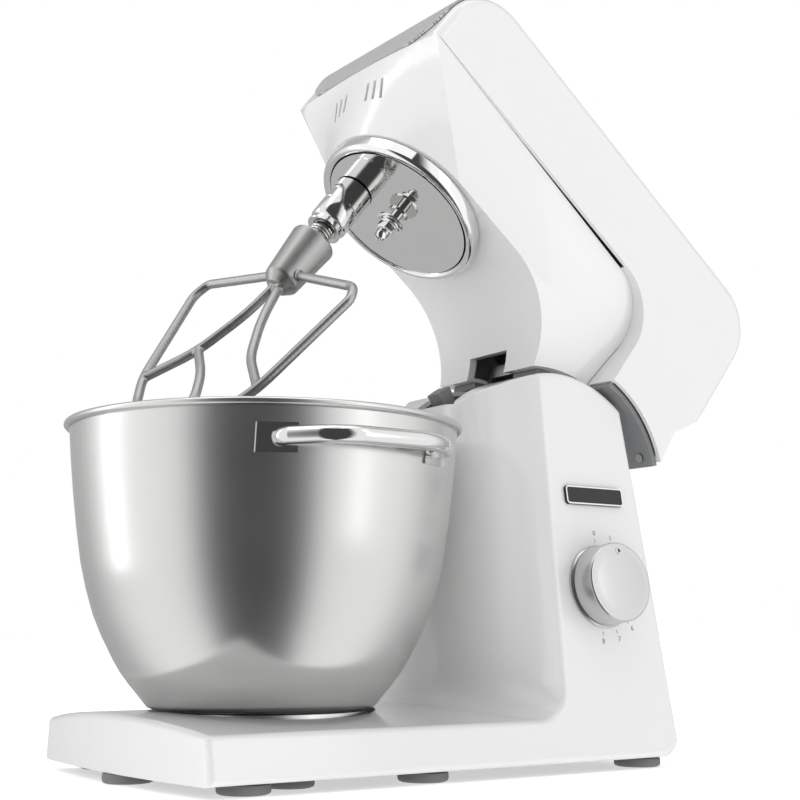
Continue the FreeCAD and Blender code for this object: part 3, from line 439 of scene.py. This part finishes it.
dome_steps = ((4.6, 16.3), (4.5, 17), (4.4, 19.4), (4.0, 21), (3.1, 22.6), (1.6, 23.5), (0, 23.9))
dome = lathe("nut_dome", [(r, DISC_Z - drop) for r, drop in dome_steps], 48)
alone(nut)
washers.select_set(True)
dome.select_set(True)
bpy.ops.object.join()
bpy.ops.object.shade_smooth_by_angle(angle=math.radians(35))
stand_in(settle(nut, HEAD_UP), "centre_nut")
print("ring and nut ready")

# %% [markdown]
# ## The shaft's sleeve
# The beater plugs into a plated sleeve that hangs from the disc. A fine groove half way down marks
# where two turned pieces meet, and the mouth steps in twice, so the sleeve is turned like the bowl:
# down the outside, round the mouth and back up the bore.

# %% Shaft sleeve
pivot = Vector(joints["beater_spin"]["pos_m"])
shaft_axis = Vector(joints["beater_spin"]["axis"]).normalized()
upright = Matrix.Translation(pivot) @ Matrix.Rotation(-TILT, 4, "X")
sleeve_profile = [(6.2, 0), (13, 0), (13, -17.4), (12.5, -17.9), (12.5, -18.5), (13, -19), (13, -31.6),
                  (12.2, -32.8), (11.4, -33.4), (11.4, -36), (12.1, -36.6), (12.1, -37.5), (11.6, -38),
                  (8.6, -38), (6.2, -36.4)]
sleeve = settle(lathe("shaft_sleeve", sleeve_profile, 96, closed=True), upright)
stand_in(sleeve, "beater_shaft")
print("sleeve hangs from", round(pivot.z, 3), "m above the floor")

# %% [markdown]
# ## The coil spring
# A spring is one round wire wound on a helix. A small circle stood on edge beside the axis and
# carried round by the Screw modifier, rising by one pitch each turn, is exactly that.

# %% Coil spring
bpy.ops.object.select_all(action="DESELECT")
WIRE_R = 0.9
COIL_R = 7.4
COIL_PITCH = 2.3
bpy.ops.mesh.primitive_circle_add(vertices=12, radius=WIRE_R * MM, location=(COIL_R * MM, 0, 0),
                                  rotation=(math.pi / 2, 0, 0))
spring = bpy.context.object
spring.name = "coil_spring"
bpy.ops.object.transform_apply(location=True, rotation=True, scale=True)
winding = spring.modifiers.new("winding", "SCREW")
winding.axis = "Z"
winding.screw_offset = -COIL_PITCH * MM
winding.iterations = 4
winding.steps = winding.render_steps = 40
winding.use_merge_vertices = True
bpy.ops.object.modifier_apply(modifier=winding.name)
alone(spring)
bpy.ops.object.mode_set(mode="EDIT")
bpy.ops.mesh.select_all(action="DESELECT")
bpy.ops.mesh.select_non_manifold()
bpy.ops.mesh.fill()
bpy.ops.mesh.select_all(action="SELECT")
bpy.ops.mesh.normals_make_consistent(inside=False)
bpy.ops.object.mode_set(mode="OBJECT")
bpy.ops.object.shade_smooth_by_angle(angle=math.radians(50))
SPRING_TOP = -39.0
stand_in(settle(spring, upright @ Matrix.Translation((0, 0, SPRING_TOP * MM))), "shaft_spring")
print("spring has", len(spring.data.polygons), "faces")

# %% [markdown]
# ## The beater
# The flat beater is one aluminium casting, so its bars flow into each other and into the hub with
# no seams. The engineering part is a union of round bars with sharp inside corners. Remeshing a
# copy in small cubes makes one skin of it, and a little smoothing fills the corners as a mould does.

# %% Cast beater
beater = bpy.data.objects.new("cast_beater", nodes["flat_beater"].data.copy())
bpy.context.scene.collection.objects.link(beater)
alone(beater)
bpy.ops.object.mode_set(mode="EDIT")
bpy.ops.mesh.select_all(action="SELECT")
bpy.ops.mesh.remove_doubles(threshold=0.000002)
bpy.ops.object.mode_set(mode="OBJECT")
one_skin = beater.modifiers.new("one skin", "REMESH")
one_skin.mode = "VOXEL"
one_skin.voxel_size = 0.75 * MM
flow = beater.modifiers.new("flow", "SMOOTH")
flow.factor = 0.6
flow.iterations = 5
for step in (one_skin, flow):
    bpy.ops.object.modifier_apply(modifier=step.name)
bpy.ops.object.shade_smooth()
stand_in(beater, "flat_beater")
print("beater has", len(beater.data.polygons), "faces")

# %% [markdown]
# ## The speed knob and its dial
# The knob is a turned cap with a polished bevel, a faintly domed satin face and one dimple that
# points at the speed. The dial beside it carries generic numbers and fine ticks, printed in grey.
# They are thin raised shapes, because a pattern this small would blur.

# %% Speed knob
dial_at = Vector(joints["speed_dial"]["pos_m"])
dial_axis = Vector(joints["speed_dial"]["axis"]).normalized()
across = Vector((0, 1, 0))
upward = dial_axis.cross(across)
DIAL = Matrix.Translation(dial_at) @ Matrix((across, upward, dial_axis)).transposed().to_4x4()
cap = lathe("knob_cap", [(6, 2.8), (23.9, 2.8), (24.4, 3.3), (24.5, 4.2), (24.5, 17.2), (24.3, 17.9), (23.8, 18.4),
                         (23.1, 18.6), (22.8, 18.55), (18, 19.3), (12, 19.9), (6, 20.3), (0, 20.45)], 128)
bpy.ops.object.select_all(action="DESELECT")
DIMPLE_R = 2.6
bpy.ops.mesh.primitive_uv_sphere_add(segments=24, ring_count=12, radius=DIMPLE_R * MM,
                                     location=(0, 19.0 * MM, 20.6 * MM))
dimple = bpy.context.object
alone(cap)
sink = cap.modifiers.new("dimple", "BOOLEAN")
sink.object = dimple
sink.solver = "EXACT"
bpy.ops.object.modifier_apply(modifier=sink.name)
bpy.data.objects.remove(dimple)
bpy.ops.object.shade_smooth_by_angle(angle=math.radians(35))
stand_in(settle(cap, DIAL), "speed_knob")

# %% [markdown]
# ## The dial
# Numbers and ticks stand at even angles round the knob. All are drawn flat round the middle first,
# then joined and laid on the leaning side of the housing in one move.

# %% Dial numbers and ticks
ink = plastic("grey dial ink", (0.3, 0.3, 0.305), 0.5, 0.05, 900.0, 0.00001, 0.2)
MARK_R = 34.0
STEP_DEG = 23.2
TICK_R = 29.0


def printed(name, made):
    """Names a group of marks and lays it on the housing in grey ink."""
    made.name = name
    made.data.materials.clear()
    made.data.materials.append(ink)
    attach(made, "base")


marks = []
for number in range(9):
    turn = math.radians(number * STEP_DEG)
    spot = Vector((math.sin(turn), math.cos(turn), 0))
    bpy.ops.object.select_all(action="DESELECT")
    bpy.ops.object.text_add(location=spot * MARK_R * MM + Vector((0, 0, 0.0001)))
    digit = bpy.context.object
    digit.data.body = str(number)
    digit.data.size = 4.4 * MM
    digit.data.align_x = "CENTER"
    digit.data.align_y = "CENTER"
    digit.data.extrude = 0.06 * MM
    bpy.ops.object.convert(target="MESH")
    marks.append(bpy.context.object)
    bpy.ops.object.select_all(action="DESELECT")
    bpy.ops.mesh.primitive_cube_add(size=1, location=spot * TICK_R * MM, rotation=(0, 0, -turn))
    tick = bpy.context.object
    tick.scale = (0.35 * MM, 2.2 * MM, 0.3 * MM)
    marks.append(tick)
bpy.ops.object.select_all(action="DESELECT")
for mark in marks:
    mark.select_set(True)
bpy.context.view_layer.objects.active = marks[0]
bpy.ops.object.transform_apply(location=True, rotation=True, scale=True)
bpy.ops.object.join()
printed("dial_marks", settle(marks[0], DIAL))
print("dial has", len(marks), "marks")

# %% [markdown]
# ## The plaque's bright edge
# The plaque on the housing is left blank. A thin polished frame round a dark field reads as a fitted
# badge rather than a painted patch. A rounded plate is inset, its middle is taken out, and the rim
# that is left is raised.

# %% Plaque frame
plaque_low, plaque_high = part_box("badge_plaque")
plaque_mid = (plaque_low + plaque_high) / 2
bpy.ops.object.select_all(action="DESELECT")
bpy.ops.mesh.primitive_plane_add(size=1)
edge = bpy.context.object
edge.name = "plaque_edge"
PLAQUE_LONG = 47.6
PLAQUE_HIGH = 11.6
edge.scale = (PLAQUE_LONG * MM, PLAQUE_HIGH * MM, 1)
bpy.ops.object.transform_apply(location=True, rotation=True, scale=True)
bpy.ops.object.mode_set(mode="EDIT")
bpy.ops.mesh.select_all(action="SELECT")
bpy.ops.mesh.bevel(offset=2.3 * MM, segments=6, affect="VERTICES")
bpy.ops.mesh.inset(thickness=0.9 * MM, depth=0)
bpy.ops.mesh.delete(type="FACE")
bpy.ops.mesh.select_all(action="SELECT")
bpy.ops.mesh.extrude_region_move(TRANSFORM_OT_translate={"value": (0, 0, 0.5 * MM)})
bpy.ops.mesh.select_all(action="SELECT")
bpy.ops.mesh.normals_make_consistent(inside=False)
bpy.ops.object.mode_set(mode="OBJECT")
edge.data.materials.append(finishes["chrome"])
plate_face = plaque_mid + dial_axis * 0.75 * MM
settle(edge, Matrix.Translation(plate_face) @ Matrix((across, upward, dial_axis)).transposed().to_4x4())
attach(edge, "base")
print("plaque edge at", [round(v, 4) for v in plate_face])

# %% [markdown]
# ## Feet
# Each foot is a soft rubber button with a rounded rim and a shallow ring in its sole that keeps it
# from sliding. Each foot is turned on its own, and all are joined in one piece.

# %% Rubber feet
foot_profile = [(5, 0.5), (8.6, 0.5), (9.2, 0.05), (12.6, 0.05), (13.8, 0.6), (14.3, 1.6), (14.4, 3.2),
                (14.2, 5.2), (13.4, 5.85), (0, 5.85)]
spots = [(0, -84)] + [(side * x, y) for x, y in ((88, -60), (72, -24), (88, 54), (88, 219)) for side in (1, -1)]
feet = []
for number, (x, y) in enumerate(spots):
    foot = lathe("foot_%d" % number, foot_profile, 64)
    alone(foot)
    bpy.ops.object.mode_set(mode="EDIT")
    bpy.ops.mesh.select_all(action="DESELECT")
    bpy.ops.mesh.select_non_manifold()
    bpy.ops.mesh.fill()
    bpy.ops.object.mode_set(mode="OBJECT")
    feet.append(settle(foot, Matrix.Translation(Vector((x, y, 0)) * MM)))
alone(feet[0])
for foot in feet:
    foot.select_set(True)
bpy.ops.object.join()
feet[0].name = "foot_buttons"
stand_in(feet[0], "rubber_feet")
print(len(spots), "feet")

# %% [markdown]
# ## Floor and light
# White plastic on white needs light from large, soft sources, but steel needs something dark to
# reflect or it looks like chalk. Reflections therefore see their own room: bright at the sides, a
# dark strip towards the camera and a dimmer far side. The bowl's dark and bright bands come from it.

# %% Floor
bpy.ops.object.select_all(action="DESELECT")
bpy.ops.mesh.primitive_plane_add(size=30, location=(0, 0, -0.0002))
floor = bpy.context.object
floor.name = "floor"
floor_finish, floor_shader, floor_maker, floor_place = new_finish("pale floor", Specular_IOR_Level=0.2)
mottle = noise(floor_maker, floor_place, 3.0)
floor_maker.put(floor_shader.inputs["Base Color"], mottle.colours((0.9, 0.9, 0.9), (0.92, 0.92, 0.92)))
floor_shader.inputs["Roughness"].default_value = 0.6
floor_shader.inputs["Emission Color"].default_value = (1, 1, 1, 1)
floor_shader.inputs["Emission Strength"].default_value = 0.55
floor.data.materials.append(floor_finish)
floor.visible_glossy = False


# %% [markdown]
# ## Lamps and room
# The lamps are area lights aimed at the middle of the mixer. The room asks what kind of ray it meets:
# the camera sees plain white, a reflection sees the bands, and all other light is even.

# %% Lights
def soft_box(name, place, aim, size, power):
    """A rectangular area light aimed at a point."""
    data = bpy.data.lights.new(name, "AREA")
    data.shape = "RECTANGLE"
    data.size, data.size_y = size
    data.energy = power
    lamp = bpy.data.objects.new(name, data)
    bpy.context.scene.collection.objects.link(lamp)
    lamp.location = place
    lamp.rotation_euler = (Vector(aim) - Vector(place)).to_track_quat("-Z", "Y").to_euler()
    return lamp


MIDDLE = (0, 0.05, 0.22)
soft_box("left box", (-0.9, -1.2, 0.6), MIDDLE, (0.3, 1.8), 3)
soft_box("right box", (1.4, 0.7, 0.6), MIDDLE, (0.3, 1.8), 1.5)
soft_box("top box", (0.2, -0.2, 1.9), MIDDLE, (1.4, 1.4), 6.5)

world = bpy.data.worlds.new("studio")
bpy.context.scene.world = world
world.use_nodes = True
room = Socket(world.node_tree)
direction = room.node("ShaderNodeTexCoord", output="Generated")
level = room.node("ShaderNodeVectorMath", {"operation": "MULTIPLY"}, {0: direction, 1: (1, 1, 0)})
level = room.node("ShaderNodeVectorMath", {"operation": "NORMALIZE"}, {0: level})
behind = (math.sin(TURN), -math.cos(TURN), 0.0)
facing = room.node("ShaderNodeVectorMath", {"operation": "DOT_PRODUCT"}, {0: level, 1: behind}, output=1)
AMBIENT = 0.68
STRIP_FROM, STRIP_TO, STRIP_DARK = 0.72, 0.9, 0.06
FAR_FROM, FAR_TO, FAR_DIM, SIDE_BRIGHT = -0.7, 0.0, 0.5, 1.1
dark_strip = room.node("ShaderNodeMapRange", {"interpolation_type": "SMOOTHSTEP"},
                       {"Value": facing, "From Min": STRIP_FROM, "From Max": STRIP_TO, "To Min": 1.0,
                        "To Max": STRIP_DARK})
far_side = room.node("ShaderNodeMapRange", {"interpolation_type": "SMOOTHSTEP"},
                     {"Value": facing, "From Min": FAR_FROM, "From Max": FAR_TO, "To Min": FAR_DIM,
                      "To Max": SIDE_BRIGHT})
seen = room.node("ShaderNodeLightPath", output="Is Camera Ray")
mirrored = room.node("ShaderNodeLightPath", output="Is Glossy Ray")
backdrop = world.node_tree.nodes["Background"]
room.put(backdrop.inputs["Strength"],
         seen + (1 - seen) * (mirrored * dark_strip * far_side + (1 - mirrored) * AMBIENT))
backdrop.inputs["Color"].default_value = (1, 1, 1, 1)
bpy.context.scene.view_settings.view_transform = "Standard"
print("studio ready")
